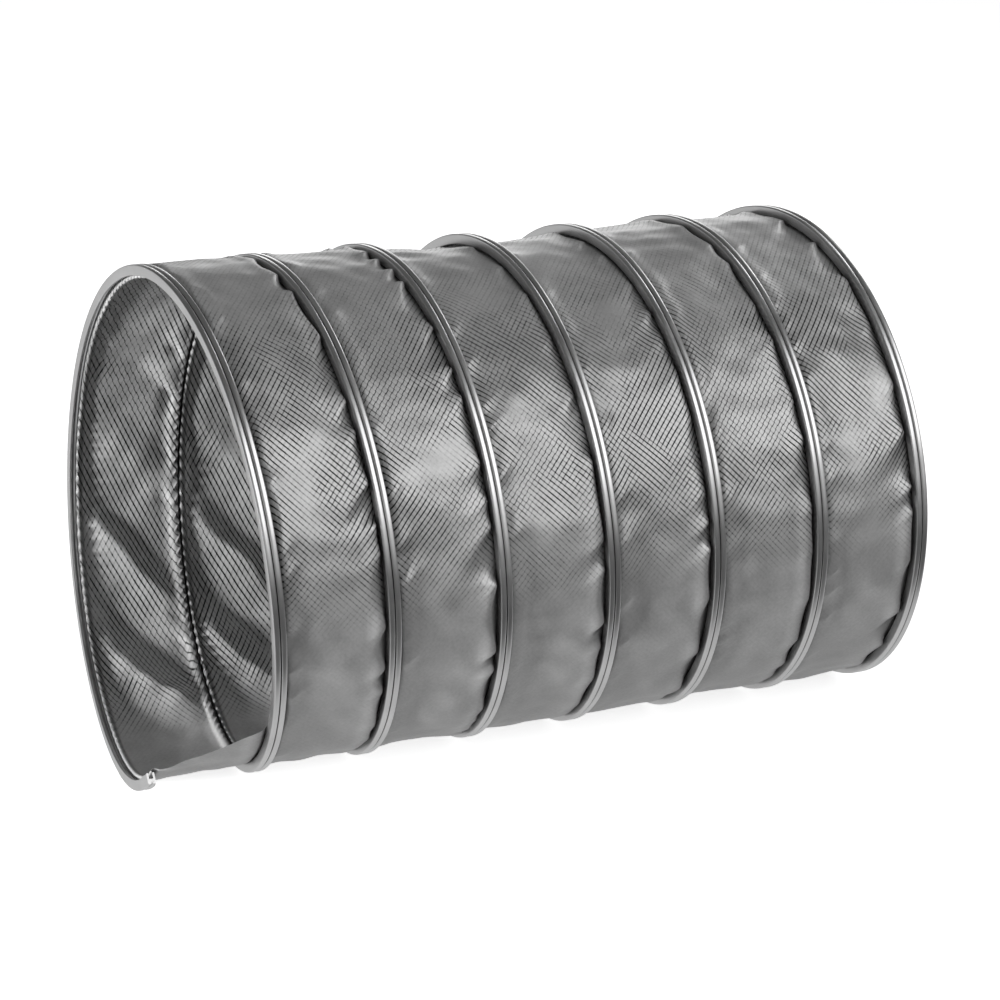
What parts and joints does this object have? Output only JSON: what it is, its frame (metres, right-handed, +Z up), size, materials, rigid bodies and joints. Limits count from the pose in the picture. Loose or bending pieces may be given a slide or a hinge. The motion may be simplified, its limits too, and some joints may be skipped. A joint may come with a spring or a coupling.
{
  "type": "flexible air duct",
  "caption": "Flexible round air duct of woven cloth, its strip edges gripped in one helical rolled steel clip that runs round the outside",
  "frame": {"origin": "on the duct's axis at the inlet end, where the clip and the cloth start", "axes": "+X along the duct from its inlet to its outlet, +Z up; the duct lies on the flats of its clip's bottom points"},
  "size_m": [0.2558, 0.1584, 0.1579],
  "materials": {
    "rolled_steel": "polished",
    "woven_cloth": "satin coated"
  },
  "bodies": {
    "turn_1": {"clip_turn_1": "rolled_steel", "fabric_turn_1": "woven_cloth"},
    "turn_2": {"clip_turn_2": "rolled_steel", "fabric_turn_2": "woven_cloth"},
    "turn_3": {"clip_turn_3": "rolled_steel", "fabric_turn_3": "woven_cloth"},
    "turn_4": {"clip_turn_4": "rolled_steel", "fabric_turn_4": "woven_cloth"},
    "turn_5": {"clip_turn_5": "rolled_steel", "fabric_turn_5": "woven_cloth"},
    "turn_6": {"clip_turn_6": "rolled_steel", "fabric_turn_6": "woven_cloth"},
    "turn_7": {"clip_turn_7": "rolled_steel"}
  },
  "joints": [
    {"name": "bend_1", "type": "hinge", "parent": "turn_1", "child": "turn_2", "pos_m": [0.0385, 0, -0.0775], "axis": [0, -1, 0], "range_deg": [0, 10], "deforming": ["fabric_turn_1"]},
    {"name": "bend_2", "type": "hinge", "parent": "turn_2", "child": "turn_3", "pos_m": [0.0735, 0, -0.0775], "axis": [0, -1, 0], "range_deg": [0, 10], "deforming": ["fabric_turn_2"]},
    {"name": "bend_3", "type": "hinge", "parent": "turn_3", "child": "turn_4", "pos_m": [0.1085, 0, -0.0775], "axis": [0, -1, 0], "range_deg": [0, 10], "deforming": ["fabric_turn_3"]},
    {"name": "bend_4", "type": "hinge", "parent": "turn_4", "child": "turn_5", "pos_m": [0.1435, 0, -0.0775], "axis": [0, -1, 0], "range_deg": [0, 10], "deforming": ["fabric_turn_4"]},
    {"name": "bend_5", "type": "hinge", "parent": "turn_5", "child": "turn_6", "pos_m": [0.1785, 0, -0.0775], "axis": [0, -1, 0], "range_deg": [0, 10], "deforming": ["fabric_turn_5"]},
    {"name": "bend_6", "type": "hinge", "parent": "turn_6", "child": "turn_7", "pos_m": [0.2135, 0, -0.0775], "axis": [0, -1, 0], "range_deg": [0, 10], "deforming": ["fabric_turn_6"]}
  ]
}
